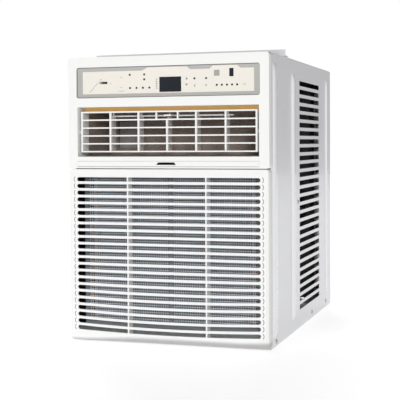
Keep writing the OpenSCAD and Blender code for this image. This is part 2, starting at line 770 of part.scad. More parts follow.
module condenser_fan() from_front() color("dimgray") translate([0, 0, shaft_z]) rotate([-90, 0, 0]) {
    y0 = cond_fan_y[0];
    y1 = cond_fan_y[1];
    difference() {
        union() {
            translate([0, 0, y0]) cylinder(h = y1 - y0, r = 24);
            for (i = [0:4]) rotate([0, 0, i * 72]) intersection() {
                translate([20, -34, (y0 + y1) / 2]) rotate([24, 0, 0]) translate([0, 0, -1])
                    cube([fan_r - 22, 68, 2]);
                translate([0, 0, y0]) cylinder(h = y1 - y0, r = fan_r - 2);
            }
        }
        translate([0, 0, y0 - 1]) cylinder(h = y1 - y0 + 2, r = shaft_r);
    }
    translate([0, 0, y0 + 10]) difference() {
        cylinder(h = 12, r = fan_r);
        translate([0, 0, -1]) cylinder(h = 14, r = fan_r - 3);
    }
}

module fan_shroud() from_front() color("whitesmoke") difference() {
    slab([-cond_x, shroud_y0, sheet_t + pan_lip], [cond_x, cond_y[0], cond_z[1]]);
    slab([2 - cond_x, shroud_y0 + 2, sheet_t + pan_lip + 2], [cond_x - 2, cond_y[0] + 1, cond_z[1] - 2]);
    rod_y(0, shaft_z, shroud_y0 - 1, shroud_y0 + 3, fan_r + 6);
}

// --- Bulkhead and vent -------------------------------------------------------------------

module bulkhead() from_front() color("silver") {
    along_y(bulkhead_y - 2, bulkhead_y) difference() {
        rect([-bulkhead_x, pan_lip + 1], [bulkhead_x, case_h - 8]);
        translate([0, shaft_z]) circle(shaft_r + 10);
        rect([vent_door_x[0], vent_door_z[0]], [vent_door_x[1], vent_door_z[1]]);
        translate([-pipe_x, suction_z]) circle(suction_r + 0.5);
        translate([-pipe_x, capillary_z]) circle(capillary_r + 0.5);
        translate([cable_x, cable_hole_z]) circle(cable_r);
    }
    for (x = [vent_door_x[0] - 6, vent_door_x[1] + 3]) difference() {
        slab([x, bulkhead_y, door_pin_z - 4], [x + 3, door_pin_y + 4, door_pin_z + 4]);
        rod_x(door_pin_y, door_pin_z, x - 1, x + 4, door_pin_r + running);
    }
}

module vent_door() from_front() color("lightgray") {
    slab([vent_door_x[0] - 2, bulkhead_y + 0.4, vent_door_z[0] - 3],
         [vent_door_x[1] + 2, bulkhead_y + 2.4, vent_door_z[1] + 1]);
    slab([vent_door_x[0] - 2, bulkhead_y + 0.4, vent_door_z[1]],
         [vent_door_x[1] + 2, door_pin_y - 1, vent_door_z[1] + 2]);
    rod_x(door_pin_y, door_pin_z, vent_door_x[0] - 7, vent_door_x[1] + 7, door_pin_r);
    slab([vent_door_x[0] - 2, door_pin_y - 2.5, vent_door_z[1]],
         [vent_door_x[1] + 2, door_pin_y + 1, door_pin_z]);
}

module vent_cable() from_front() color("black")
    pipe([[-105, 30, lever_z], [-105, 120, lever_z], [cable_x, 145, cable_hole_z],
          [cable_x, bulkhead_y + 6, cable_hole_z], [cable_x, bulkhead_y + 18, cable_hole_z - 8]], cable_r);

// --- Refrigeration -----------------------------------------------------------------------

// Places of the compressor's three studs
module comp_studs() for (a = [90, 210, 330])
    translate([comp_pos.x + stud_ring * cos(a), comp_pos.y + stud_ring * sin(a), 0]) children();

module compressor() from_front() color("black") difference() {
    union() {
        translate([comp_pos.x, comp_pos.y, 0]) {
            translate([0, 0, comp_z0 + 10]) cylinder(h = comp_top - comp_z0 - 30, r = comp_r);
            translate([0, 0, comp_z0]) cylinder(h = 10, r1 = comp_r - 12, r2 = comp_r);
            translate([0, 0, comp_top - 20]) cylinder(h = 20, r1 = comp_r, r2 = comp_r - 22);
            translate([0, 0, comp_lift + foot_t + sheet_t]) cylinder(h = comp_z0, r = comp_r - 34);
            translate([0, 0, comp_lift + sheet_t]) cylinder(h = foot_t, r = stud_ring + 8);
            translate([0, 0, comp_top - 2]) cylinder(h = 14, r = suction_r);
        }
        rod_y(comp_pos.x, 55, comp_pos.y, comp_pos.y + comp_r + 10, suction_r);
    }
    comp_studs() translate([0, 0, comp_lift]) cylinder(h = foot_t + 3, r = stud_r);
}

module compressor_grommets() from_front() color("dimgray") comp_studs()
    translate([0, 0, sheet_t]) difference() {
        cylinder(h = comp_lift, r = 8);
        translate([0, 0, -1]) cylinder(h = comp_lift + 2, r = stud_r);
    }

module compressor_nuts() from_front() color("silver") comp_studs()
    translate([0, 0, sheet_t + comp_lift + foot_t]) difference() {
        cylinder(h = nut_t, r = 6.4, $fn = 6);
        translate([0, 0, -1]) cylinder(h = nut_t + 2, r = stud_r);
    }

module accumulator() from_front() color("black") translate([accu_pos.x, accu_pos.y, 0]) {
    translate([0, 0, accu_z[0] + 10]) cylinder(h = accu_z[1] - accu_z[0] - 20, r = accu_r);
    translate([0, 0, accu_z[0]]) cylinder(h = 10, r1 = 8, r2 = accu_r);
    translate([0, 0, accu_z[1] - 10]) cylinder(h = 10, r1 = accu_r, r2 = 8);
}

module discharge_line() from_front() color("peru")
    pipe([[comp_pos.x, comp_pos.y, comp_top + 12], [comp_pos.x, comp_pos.y, case_h - 14],
          [-pipe_x, comp_pos.y + 70, case_h - 14], [-pipe_x, column_y(cond_y, 1), case_h - 14],
          [-pipe_x, column_y(cond_y, 1), cond_free_z], [-pipe_end_x, column_y(cond_y, 1), cond_free_z]],
         suction_r);

module suction_line() from_front() color("peru") {
    pipe([[-pipe_end_x, column_y(evap_y, 1), evap_free_z], [-pipe_x, column_y(evap_y, 1), evap_free_z],
          [-pipe_x, column_y(evap_y, 1), suction_z], [-pipe_x, suction_y, suction_z],
          [-pipe_x, suction_y, comp_top + 16], [accu_pos.x, accu_pos.y, comp_top + 16],
          [accu_pos.x, accu_pos.y, accu_z[1]]], suction_r);
    pipe([[accu_pos.x, accu_pos.y, accu_z[0]], [accu_pos.x, accu_pos.y, 52],
          [comp_pos.x, comp_pos.y + comp_r + 20, 55], [comp_pos.x, comp_pos.y + comp_r + 10, 55]],
         suction_r);
}

module capillary_line() from_front() color("peru")
    pipe([[-pipe_end_x, column_y(cond_y, 0), cond_free_z], [-pipe_x, column_y(cond_y, 0), cond_free_z],
          [-pipe_x, cond_y[0] - 60, cond_free_z], [-pipe_x, cond_y[0] - 60, capillary_z],
          [-pipe_x, column_y(evap_y, 0), capillary_z], [-pipe_x, column_y(evap_y, 0), evap_free_z],
          [-pipe_end_x, column_y(evap_y, 0), evap_free_z]], capillary_r);

// --- Electrics, guard and ports ----------------------------------------------------------

module control_box() from_front() color("silver") {
    z0 = mouth_z1 + 8;
    z1 = case_h - sheet_t;
    difference() {
        slab([box_x[0], box_y[0], z0], [box_x[1], box_y[1], z1]);
        slab([box_x[0] + sheet_t, box_y[0] + sheet_t, z0 + sheet_t],
             [box_x[1] - sheet_t, box_y[1] - sheet_t, z1 - sheet_t]);
    }
}

module run_capacitor() from_front() color("gainsboro")
    rod_x(box_y[0] + 42, mouth_z1 + 8 + sheet_t + 20, box_x[0] + 30, box_x[0] + 100, 20);

module rear_guard() from_front() color("lightgray") along_y(case_d - 10, case_d - 6) difference() {
    rect([-inner_x, pan_lip + 1], [inner_x, case_h - sheet_t]);
    bars = floor((case_h - 70) / 25);
    for (i = [0:bars - 1], side = [-1, 1]) let (z = pan_lip + 22 + i * 25)
        rect([side > 0 ? 5 : 14 - inner_x, z], [side > 0 ? inner_x - 14 : -5, z + 19]);
}

module drain_port() from_front() color("white") difference() {
    union() {
        rod_y(drain_x, drain_z, rear_y - 12, case_d, drain_r + 2);
        rod_y(drain_x, drain_z, rear_y - sheet_t - 3, rear_y - sheet_t, drain_r + 4);
    }
    rod_y(drain_x, drain_z, rear_y - 13, case_d + 1, drain_r);
}

module cord_gland() from_front() color("black") difference() {
    union() {
        rod_x(gland_y, gland_z, -half_w, -inner_x + 10, gland_r + 3);
        rod_x(gland_y, gland_z, -inner_x, -inner_x + 3, gland_r + 6);
    }
    rod_x(gland_y, gland_z, -half_w - 1, -inner_x + 11, gland_r);
}

base_pan();
cabinet_wrap();
top_rail();
cabinet_screws();
front_panel();
intake_grille();
control_bezel();
control_overlay();
display_window();
ir_window();
indicator_lights();
outlet_duct();
outlet_seal();
evaporator_fins();
evaporator_tubes();
evaporator_plates();
scroll_housing();
bulkhead();
fan_motor();
motor_bracket();
fan_shroud();
condenser_fins();
condenser_tubes();
condenser_plates();
rear_guard();
compressor();
compressor_grommets();
compressor_nuts();
accumulator();
discharge_line();
suction_line();
capillary_line();
control_box();
control_board();
run_capacitor();
vent_cable();
drain_port();
cord_gland();
louvre_frame();
vane_1();
vane_2();
vane_3();
vane_4();
vane_5();
vane_link();
filter_flap();
filter_frame();
filter_net();
vent_lever();
vent_door();
key_fan();
key_mode();
key_up();
key_down();
key_timer();
key_sleep();
key_power();
fan_shaft();
blower_wheel();
condenser_fan();
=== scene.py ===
# %% [markdown]
# # A tall window air conditioner
# The hard parts of this unit come ready-made from the CAD model, each in its true place. This lesson gives
# them their looks: rounded edges, pressed ribs, dense coil fins, a filter net, printed marks and finishes.
# Everything is in metres. X runs to the right seen from the room, Y runs from the room to the outdoors, and
# Z runs up from the surface the unit stands on.

# %% Load the frame
import json
import math

import bmesh
import bpy
from mathutils import Matrix, Vector


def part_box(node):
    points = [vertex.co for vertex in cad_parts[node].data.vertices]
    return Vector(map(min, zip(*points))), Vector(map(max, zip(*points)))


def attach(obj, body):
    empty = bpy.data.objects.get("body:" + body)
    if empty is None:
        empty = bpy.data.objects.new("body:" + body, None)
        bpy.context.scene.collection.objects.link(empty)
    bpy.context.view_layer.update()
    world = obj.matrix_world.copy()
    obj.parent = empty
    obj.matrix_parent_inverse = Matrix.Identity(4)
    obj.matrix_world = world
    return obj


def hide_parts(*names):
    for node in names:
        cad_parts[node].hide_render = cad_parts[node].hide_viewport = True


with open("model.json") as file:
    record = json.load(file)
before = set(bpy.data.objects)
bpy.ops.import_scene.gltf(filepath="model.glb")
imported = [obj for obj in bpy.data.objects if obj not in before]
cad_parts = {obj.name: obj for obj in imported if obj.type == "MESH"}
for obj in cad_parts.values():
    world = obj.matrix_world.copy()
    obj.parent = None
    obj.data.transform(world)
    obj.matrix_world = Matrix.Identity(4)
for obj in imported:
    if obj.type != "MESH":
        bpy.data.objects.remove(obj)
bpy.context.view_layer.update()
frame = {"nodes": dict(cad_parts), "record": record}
MM = 0.001
DEPTH = 560 * MM
FRONT = -DEPTH / 2


def at(x, depth, z):
    """A point from millimetres across, behind the front face, and up."""
    return Vector((x * MM, FRONT + depth * MM, z * MM))


# %% [markdown]
# ## Camera
# A long lens stands a little to the right of the unit and looks slightly down, so both the front and the
# right side show. A small vertical shift moves the picture without tilting the camera, which would make the
# upright edges lean.

# %% Camera
YAW, PITCH, ROLL = math.radians(17.93), math.radians(1.66), math.radians(-0.314)
look = Vector((-math.sin(YAW) * math.cos(PITCH), math.cos(YAW) * math.cos(PITCH), -math.sin(PITCH)))
level = Vector((math.cos(YAW), math.sin(YAW), 0))
upright = level.cross(look)
right = level * math.cos(ROLL) + upright * math.sin(ROLL)
up = upright * math.cos(ROLL) - level * math.sin(ROLL)
lens = bpy.data.cameras.new("camera")
lens.lens, lens.sensor_width = 92.28, 36
lens.shift_y = -0.07
camera = bpy.data.objects.new("camera", lens)
bpy.context.scene.collection.objects.link(camera)
camera.matrix_world = Matrix((
    (right.x, up.x, -look.x, 0.602),
    (right.y, up.y, -look.y, -1.949),
    (right.z, up.z, -look.z, 0.355),
    (0, 0, 0, 1)))
bpy.context.scene.camera = camera
print("camera at", [round(v, 3) for v in camera.location])


# %% [markdown]
# ## Node trees from Python
# Shaders and Geometry Nodes are both trees of nodes. One small class adds nodes to either kind, and another
# wraps a socket so that sums can be written as plain Python. `1 - mask` adds a Math node set to Subtract.

# %% Sums on sockets
class Val:
    """A node's output socket that can stand in a sum."""

    def __init__(self, tree, socket):
        self.tree, self.socket = tree, socket

    def math(self, operation, *terms):
        return self.tree.add("ShaderNodeMath", {"operation": operation}, dict(enumerate(terms)))

    def __add__(self, other):
        return self.math("ADD", self, other)

    def __sub__(self, other):
        return self.math("SUBTRACT", self, other)

    def __rsub__(self, other):
        return self.math("SUBTRACT", other, self)

    def __mul__(self, other):
        return self.math("MULTIPLY", self, other)

    def __gt__(self, other):
        return self.math("GREATER_THAN", self, other)

    def __lt__(self, other):
        return self.math("LESS_THAN", self, other)

    __radd__, __rmul__ = __add__, __mul__


# %% Adding nodes
class Nodes:
    """Adds nodes to a tree: the type, then its settings, then the values or links of its sockets."""

    def __init__(self, tree):
        self.tree = tree

    def add(self, kind, settings=None, sockets=None, out=0):
        node = self.tree.nodes.new(kind)
        for name, value in (settings or {}).items():
            if name == "stops":
                ramp = node.color_ramp.elements
                while len(ramp) < len(value):
                    ramp.new(0.5)
                for stop, (place, tone) in zip(ramp, value):
                    stop.position, stop.color = place, (tone, tone, tone, 1)
            else:
                setattr(node, name, value)
        for name, value in (sockets or {}).items():
            socket = node.inputs[name]
            if isinstance(value, Val):
                self.tree.links.new(value.socket, socket)
            elif isinstance(value, (tuple, list)) and socket.type == "RGBA" and len(value) == 3:
                socket.default_value = (*value, 1)
            else:
                socket.default_value = value
        return Val(self, node.outputs[out])

    def blend(self, factor, a, b):
        """A colour between a and b."""
        return self.add("ShaderNodeMix", {"data_type": "RGBA"}, {"Factor": factor, "A": a, "B": b}, 2)


# %% [markdown]
# ## Finishes
# Every finish on this unit is a base colour that drifts a little over the surface, a roughness that varies,
# and a fine bump. What differs is the scale. Moulded plastic has a spark-eroded grain a fraction of a
# millimetre across, powder coat has the longer waves of orange peel, and zinc shows crystals. One function
# builds the shared part from Object coordinates, so nothing depends on a UV map.

# %% One finish
FINISH = {}
# near-black colour of the painted shade inside the cabinet
INSIDE_PAINTED_SHADE = (0.012, 0.012, 0.013)


def finish(name, color, rough=0.4, metal=0.0, drift=0.04, drift_size=0.05, grain=0.0004, bump=0.15,
           stretch=(1, 1, 1), coat=0.0, cells=False, tint=None, specular=0.5, painted_shade_inside=None,
           painted_shade_colour=None, glow=0.0):
    """A material with colour drift, roughness variation and a grained bump, and where asked painted shade and
    a painted glow.
    """
    material = bpy.data.materials.new(name)
    material.use_nodes = True
    material.node_tree.nodes.clear()
    t = Nodes(material.node_tree)
    place = t.add("ShaderNodeTexCoord", out="Object")
    mapped = t.add("ShaderNodeMapping", {}, {"Vector": place, "Scale": stretch})
    broad = t.add("ShaderNodeTexNoise", {}, {"Vector": place, "Scale": 1 / drift_size, "Detail": 3.0})
    if cells:
        fine = t.add("ShaderNodeTexVoronoi", {"feature": "F1"},
                     {"Vector": mapped, "Scale": 1 / grain}, "Distance")
    else:
        fine = t.add("ShaderNodeTexNoise", {}, {"Vector": mapped, "Scale": 1 / grain, "Detail": 4.0})
    dark = tuple(c * (1 - drift * 2) for c in color)
    shade = t.blend(broad * 0.7 + fine * 0.3, tint or dark, tuple(color))
    # painted shade: within the cabinet's width and below its top the colour turns near black
    if painted_shade_inside:
        x = t.add("ShaderNodeSeparateXYZ", {}, {"Vector": place}, "X")
        z = t.add("ShaderNodeSeparateXYZ", {}, {"Vector": place}, "Z")
        painted_shade_mask = (x < painted_shade_inside[0]) * (x > -painted_shade_inside[0]) * (z < painted_shade_inside[1])
        shade = t.blend(painted_shade_mask, shade, INSIDE_PAINTED_SHADE)
    # painted shade where the mesh is marked: the side walls of the front mouldings and the grille's folded
    # lower edge
    if painted_shade_colour:
        fold = t.add("ShaderNodeAttribute", {"attribute_name": "fold"}, {}, "Fac")
        shade = t.blend(fold, shade, painted_shade_colour)
    tilt = t.add("ShaderNodeBump", {}, {"Height": fine, "Strength": bump, "Distance": grain * 0.5})
    shader = t.add("ShaderNodeBsdfPrincipled", {}, {
        "Base Color": shade, "Metallic": metal, "Coat Weight": coat, "Specular IOR Level": specular,
        "Roughness": fine * 0.12 + broad * 0.08 + (rough - 0.1), "Normal": tilt,
        "Emission Color": shade, "Emission Strength": glow})
    result = material.node_tree.nodes.new("ShaderNodeOutputMaterial")
    material.node_tree.links.new(shader.socket, result.inputs["Surface"])
    FINISH[name] = material
    return material


# %% [markdown]
# The inside of the cabinet gets painted shade: a finish may turn dark within a given width and height. Most
# names below are material slots of the parts list, and a few more are for pieces that look different, some of
# them darker copies with painted shade and one lighter copy with a painted highlight. White mouldings are
# satin with a trace of warmth. The control film is cream, the coil fins carry a blue water-shedding coat, and
# the compressor is black enamel.

# %% All finishes
MOULDED = {"drift": 0.012, "grain": 0.0005, "bump": 0.10, "drift_size": 0.12}
SHEET = {"drift": 0.015, "drift_size": 0.15, "grain": 0.0016, "bump": 0.12}
finish("white_plastic", (0.86, 0.86, 0.85), 0.36, **MOULDED)
# a copy of the white plastic that turns darker where marked: painted shade
finish("white_plastic_painted_shade", (0.86, 0.86, 0.85), 0.36, painted_shade_colour=(0.40, 0.40, 0.40), **MOULDED)
# the vanes are white plastic; this darker copy is painted shade on their sides
finish("vane_plastic", (0.60, 0.57, 0.55), 0.45, drift=0.02, grain=0.0005, bump=0.12)
finish("grey_plastic", (0.45, 0.44, 0.42), 0.45, drift=0.03, grain=0.0006, bump=0.2)
finish("cream_film", (0.82, 0.78, 0.71), 0.42, drift=0.015, grain=0.0003, bump=0.08)
finish("key_film", (0.82, 0.78, 0.71), 0.40, drift=0.015, grain=0.0003, bump=0.08)
finish("dark_window", (0.010, 0.013, 0.022), 0.16, drift=0.2, grain=0.002, bump=0.02, coat=0.6)
finish("lights", (0.02, 0.022, 0.02), 0.25, drift=0.1, grain=0.0008, bump=0.1, coat=0.3)
finish("painted_steel", (0.71, 0.71, 0.73), 0.30, coat=0.15, **SHEET)
finish("steel_painted_shade_inside", (0.71, 0.71, 0.73), 0.30, coat=0.15, painted_shade_inside=(0.1801, 0.5072), **SHEET)
# the ribs are the same paint as the sheet; this lighter copy is a painted highlight
finish("rib_steel_painted_highlight", (0.80, 0.80, 0.82), 0.26, coat=0.3, **SHEET)
finish("galvanised", (0.55, 0.57, 0.58), 0.42, 0.9, drift=0.12, drift_size=0.03, grain=0.007, bump=0.1,
       cells=True)
finish("screws", (0.52, 0.52, 0.50), 0.35, 1.0, drift=0.15, drift_size=0.004, grain=0.0006, bump=0.25)
finish("black_steel", (0.010, 0.010, 0.011), 0.35, drift=0.1, grain=0.002, bump=0.2, coat=0.3)
finish("black_plastic", (0.012, 0.012, 0.013), 0.5, drift=0.1, grain=0.0007, bump=0.25)
finish("rubber", (0.014, 0.014, 0.014), 0.75, drift=0.15, grain=0.0009, bump=0.3)
finish("copper", (0.62, 0.30, 0.17), 0.32, 1.0, drift=0.2, drift_size=0.02, grain=0.001, bump=0.1,
       tint=(0.36, 0.17, 0.10))
FOIL = {"drift": 0.12, "drift_size": 0.04, "grain": 0.0015, "bump": 0.15, "stretch": (1, 1, 0.2)}
finish("fins", (0.25, 0.32, 0.39), 0.38, 0.3, **FOIL)
finish("rear_fins", (0.50, 0.51, 0.52), 0.38, 0.9, **FOIL)
finish("foam", (0.43, 0.35, 0.31), 0.85, drift=0.12, grain=0.004, bump=0.5, cells=True)
# the amber seal gets a faint glow though it is no lamp: painted light in the shaded mouth
finish("amber_seal", (0.92, 0.56, 0.20), 0.6, drift=0.15, drift_size=0.02, grain=0.0012, bump=0.3, glow=0.3)
finish("filter_mesh", (0.80, 0.86, 0.92), 0.55, drift=0.1, grain=0.0005, bump=0.2)
finish("board", (0.015, 0.10, 0.04), 0.4, drift=0.25, drift_size=0.008, grain=0.0015, bump=0.2)
finish("capacitor_can", (0.62, 0.63, 0.64), 0.3, 1.0, drift=0.1, grain=0.001, bump=0.1, stretch=(1, 1, 0.1))
finish("slate", (0.20, 0.22, 0.24), 0.5, drift=0.06, grain=0.0006, bump=0.2)
finish("print_grey_and_painted_shade", (0.22, 0.22, 0.23), 0.5, drift=0.1, grain=0.0004, bump=0.05)
finish("ink", (0.03, 0.03, 0.035), 0.4, drift=0.1, grain=0.0004, bump=0.05)
finish("shadow_gap", (0.10, 0.10, 0.10), 0.6, drift=0.1, grain=0.0006, bump=0.1)
finish("print_pale", (0.40, 0.39, 0.38), 0.5, drift=0.1, grain=0.0004, bump=0.05)
print("finishes", len(FINISH))

# %% Finishes on the CAD parts
slot_of = {s["node"]: s["material_slot"] for s in frame["record"]["subparts"]}
body_of = {n: b for b, members in frame["record"]["behaviour"]["bodies"].items() for n in members}

# these parts show another finish than their material slot
LOOK = {"scroll_housing": "foam", "outlet_duct": "foam", "fan_shroud": "black_plastic",
        "bulkhead": "black_plastic", "motor_bracket": "black_steel", "fan_motor": "black_steel",
        "filter_frame": "slate"}
VANES = ["vane_%d" % i for i in range(1, 6)]
# the vanes take the darker copy: painted shade
LOOK.update({node: "vane_plastic" for node in VANES})
for node, part in frame["nodes"].items():
    part.data.materials.clear()
    part.data.materials.append(FINISH[LOOK.get(node, slot_of[node])])
print("parts with another finish:", len(LOOK))


# %% [markdown]
# ## Rounded copies of the CAD parts
# A CAD edge is perfectly sharp, and nothing real is. Moulded and pressed parts catch a thin highlight along
# every edge. The CAD mesh is loose triangles, so each copy is merged first and its flat areas are joined.
# Chosen edges are then rounded to their own radius, and a small bevel takes care of all the others.

# %% Merging a copy
def merged(node):
    """A bmesh of the node with its corners joined and its flat faces whole."""
    bm = bmesh.new()
    bm.from_mesh(frame["nodes"][node].data)
    bmesh.ops.remove_doubles(bm, verts=bm.verts, dist=0.00002)
    bmesh.ops.dissolve_limit(bm, angle_limit=math.radians(0.6), verts=bm.verts, edges=bm.edges)
    return bm


def piece(name, bm, body, slot, stands_for=(), bevel=0.0, steps=2, angle=35, look=None):
    """Makes a finished piece from a bmesh: bevelled, smoothly shaded and riding on its body."""
    mesh = bpy.data.meshes.new(name)
    bm.to_mesh(mesh)
    bm.free()
    mesh.materials.append(FINISH[look or slot])
    made = bpy.data.objects.new(name, mesh)
    bpy.context.scene.collection.objects.link(made)
    if bevel:
        edge = made.modifiers.new("edge", "BEVEL")
        edge.width, edge.segments, edge.limit_method = bevel, steps, "ANGLE"
        edge.angle_limit = math.radians(angle)
        made.modifiers.new("flats", "WEIGHTED_NORMAL").keep_sharp = True
    mesh.shade_smooth()
    mesh.set_sharp_from_angle(angle=math.radians(48))
    flat = bpy.data.meshes.new_from_object(made.evaluated_get(bpy.context.evaluated_depsgraph_get()))
    made.modifiers.clear()
    made.data = flat
    flat.name = name
    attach(made, body)
    if stands_for:
        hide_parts(*stands_for)
    return made


def round_edges(bm, test, radius, steps=4):
    """Rounds the edges whose middle and direction pass the test."""
    chosen = [e for e in bm.edges if e.calc_length() > radius and
              test((e.verts[0].co + e.verts[1].co) / 2, (e.verts[1].co - e.verts[0].co).normalized())]
    bmesh.ops.bevel(bm, geom=chosen, offset=radius, segments=steps, profile=0.5, affect="EDGES",
                    clamp_overlap=True)
    return len(chosen)


# %% [markdown]
# ## Front mouldings
# The upper panel and the intake grille are two separate mouldings that meet at a fine seam. Their outer
# corners have a radius of a few millimetres, and the slots and the mouth have much smaller ones.

# %% Helpers for the front mouldings
NEAR = 1e-4
WALL_STARTS = 0.1815
SIDE_DEPTH = 0.04


def front_upright(half_width):
    """A test for the upright edges of the front face at this distance from the middle."""
    return lambda m, d: abs(m.y - FRONT) < NEAR and abs(abs(m.x) - half_width) < NEAR and abs(d.z) > 0.9


def front_level(height):
    """A test for the level edges of the front face at this height."""
    return lambda m, d: abs(m.y - FRONT) < NEAR and abs(m.z - height) < NEAR and abs(d.x) > 0.9


def paint_side_shade(bm):
    """Marks the side walls with painted shade, slightly darker towards the cabinet."""
    fold = bm.verts.layers.float.new("fold")
    for v in bm.verts:
        if abs(v.co.x) > WALL_STARTS:
            v[fold] = min(0.5, max(0, (v.co.y - FRONT) / SIDE_DEPTH))
    return fold


def smooth(t):
    """Goes from 0 to 1 with a soft start and a soft end."""
    t = min(1, max(0, t))
    return t * t * (3 - 2 * t)


def cut_through(bm, normal, places):
    """Adds edges where planes at these places cross the mesh, so that it can bend there."""
    for place in places:
        bmesh.ops.bisect_plane(bm, geom=bm.verts[:] + bm.edges[:] + bm.faces[:], dist=1e-7,
                               plane_co=Vector(normal) * place, plane_no=normal)


# %% Upper panel and grille
panel = merged("front_panel")
rounded = round_edges(panel, front_upright(0.184), 0.0055)
rounded += round_edges(panel, front_level(0.506), 0.0035)
paint_side_shade(panel)
piece("upper_panel", panel, "cabinet", "white_plastic", ["front_panel"], 0.0004, look="white_plastic_painted_shade")
grille = merged("intake_grille")
rounded += round_edges(grille, front_upright(0.1825), 0.005)
cut_through(grille, (1, 0, 0), [x * MM for x in range(-176, 177, 16)])
cut_through(grille, (0, 0, 1), [z * MM for z in range(4, 19, 2)])
fold = paint_side_shade(grille)

# %% Bending the grille
# the lower edge folds back below a curve that rises from the left, and the lower slats sag in the middle
HALF_WIDTH = 184
CREASE_LEFT, CREASE_RISE, CREASE_RUN = 10, 6, 150
CORNER_START, CORNER_RISE, CORNER_RUN = 120, 3, 64
PAINTED_SHADE_RISE, FOLD_SLOPE, FOLD_REACH = 7, 0.6, 24
SAG, SAG_TOP, SAG_FADE, SAG_WIDTH = 4.4, 165, 125, 170
for v in grille.verts:
    x, y, z = v.co.x / MM, (v.co.y - FRONT) / MM, v.co.z / MM
    rise = CREASE_RISE * smooth((x + HALF_WIDTH) / CREASE_RUN)
    crease = CREASE_LEFT + rise + CORNER_RISE * max(0, (x - CORNER_START) / CORNER_RUN) ** 2
    if z < crease:
        # below the crease the colour turns darker towards the bottom: painted shade
        v[fold] = max(v[fold], min(1, (crease - z) / PAINTED_SHADE_RISE))
        v.co.y += (crease - z) * FOLD_SLOPE * max(0, 1 - y / FOLD_REACH) * MM
    if z > 19:
        middle = max(0, 1 - (x / SAG_WIDTH) ** 2)
        v.co.z -= SAG * smooth((SAG_TOP - z) / SAG_FADE) * smooth((z - 18) / 6) * middle * MM
piece("lower_grille", grille, "cabinet", "white_plastic", ["intake_grille"], 0.0004, look="white_plastic_painted_shade")
print("edges rounded on the front:", rounded)

# %% Small front parts
SMALL = {"louvre_frame": 0.35, "vane_link": 0.3, "filter_flap": 0.4, "control_bezel": 0.5, "vent_lever": 0.4,
         "filter_frame": 0.5, "top_rail": 0.3, "display_window": 0.25, "ir_window": 0.25,
         "control_overlay": 0.1, "rear_guard": 0.3, "base_pan": 0.4, "drain_port": 0.4, "cord_gland": 0.5,
         "vent_door": 0.3}
SMALL.update({node: 0.3 for node in VANES})
for node, width in SMALL.items():
    piece(node + "_finished", merged(node), body_of[node], slot_of[node], [node], width * MM,
          look=LOOK.get(node))
print("parts with softened edges:", len(SMALL))


# %% [markdown]
# ## Pressed side ribs
# The sheet-steel sides are stiffened by ribs pressed out of them. A press tool leaves a steep wall towards
# the front and a long run-out behind it, which is why each rib shows as one bright line. The flat rib of the
# CAD model is pushed back into the sheet, and a lofted rib with that uneven section takes its place.

# %% Wrap without its flat ribs
SKIN = 0.181
wrap = bmesh.new()
wrap.from_mesh(frame["nodes"]["cabinet_wrap"].data)
for v in wrap.verts:
    if abs(v.co.x) > SKIN:
        v.co.x = math.copysign(SKIN, v.co.x)
bmesh.ops.remove_doubles(wrap, verts=wrap.verts, dist=0.00002)
bmesh.ops.dissolve_degenerate(wrap, edges=wrap.edges, dist=0.00002)
bmesh.ops.dissolve_limit(wrap, angle_limit=math.radians(0.6), verts=wrap.verts, edges=wrap.edges)
CASE_TOP = 0.508
corner = round_edges(wrap, lambda m, d: abs(abs(m.x) - SKIN) < NEAR and abs(m.z - CASE_TOP) < NEAR
                     and abs(d.y) > 0.9, 0.0025)
# the inside of the skin gets painted shade, near black
piece("cabinet_skin", wrap, "cabinet", "painted_steel", ["cabinet_wrap"], 0.0005, look="steel_painted_shade_inside")
print("top corners rounded:", corner)


# %% Lofting a rib
def rounded_loop(y0, y1, z0, z1, radius, steps=7):
    """Points around a rounded rectangle in depth and height."""
    points = []
    for cy, cz, turn in ((y1 - radius, z1 - radius, 0), (y0 + radius, z1 - radius, 90),
                         (y0 + radius, z0 + radius, 180), (y1 - radius, z0 + radius, 270)):
        for i in range(steps + 1):
            a = math.radians(turn + 90 * i / steps)
            points.append((cy + radius * math.cos(a), cz + radius * math.sin(a)))
    return points


def bead(bm, side, y0, y1, z0, z1, section):
    """An upright bead: a section of (depth, height) points lofted up, sinking into the skin at both ends."""
    stations = [(0, 0), (4, 0.35), (9, 0.75), (16, 0.95), (26, 1)]
    levels = [(z0 + s, k) for s, k in stations] + [(z1 - s, k) for s, k in stations[::-1]]
    rings = [[bm.verts.new(at(side * (181 + (h * k if h > 0 else h)), y0 + (y1 - y0) * t, z))
              for t, h in section] for z, k in levels]
    n = len(section)
    for a, b in zip(rings, rings[1:]):
        for i in range(n):
            bm.faces.new((a[i], a[(i + 1) % n], b[(i + 1) % n], b[i]))
    bm.faces.new(rings[0])
    bm.faces.new(rings[-1])


ribs = bmesh.new()
BROAD = [(0, -0.3), (0, 0.02), (0.1, 0.5), (0.15, 1.8), (0.2, 3.0), (0.26, 3.6), (0.42, 4.0), (0.7, 3.9),
         (0.85, 2.8), (0.95, 1.0), (1, 0.02), (1, -0.3)]
SHARP = [(0, -0.3), (0, 0.02), (0.07, 0.4), (0.12, 1.8), (0.18, 3.1), (0.27, 3.8), (0.75, 3.9), (0.88, 3.0),
         (0.96, 1.2), (1, 0.02), (1, -0.3)]
NARROW = [(0, -0.3), (0, 0.02), (0.08, 1.0), (0.18, 2.4), (0.32, 3.0), (0.65, 3.0), (0.87, 1.6), (1, 0.02),
          (1, -0.3)]
for side in (-1, 1):
    bead(ribs, side, 31, 66, 18, 491, BROAD)
    bead(ribs, side, 180, 204, 24, 482, SHARP)
    bead(ribs, side, 507, 521, 26, 488, NARROW)
bmesh.ops.recalc_face_normals(ribs, faces=ribs.faces)
# the ribs take the lighter copy of the paint, a painted highlight
piece("side_ribs", ribs, "cabinet", "painted_steel", look="rib_steel_painted_highlight")
print("ribs", 6)


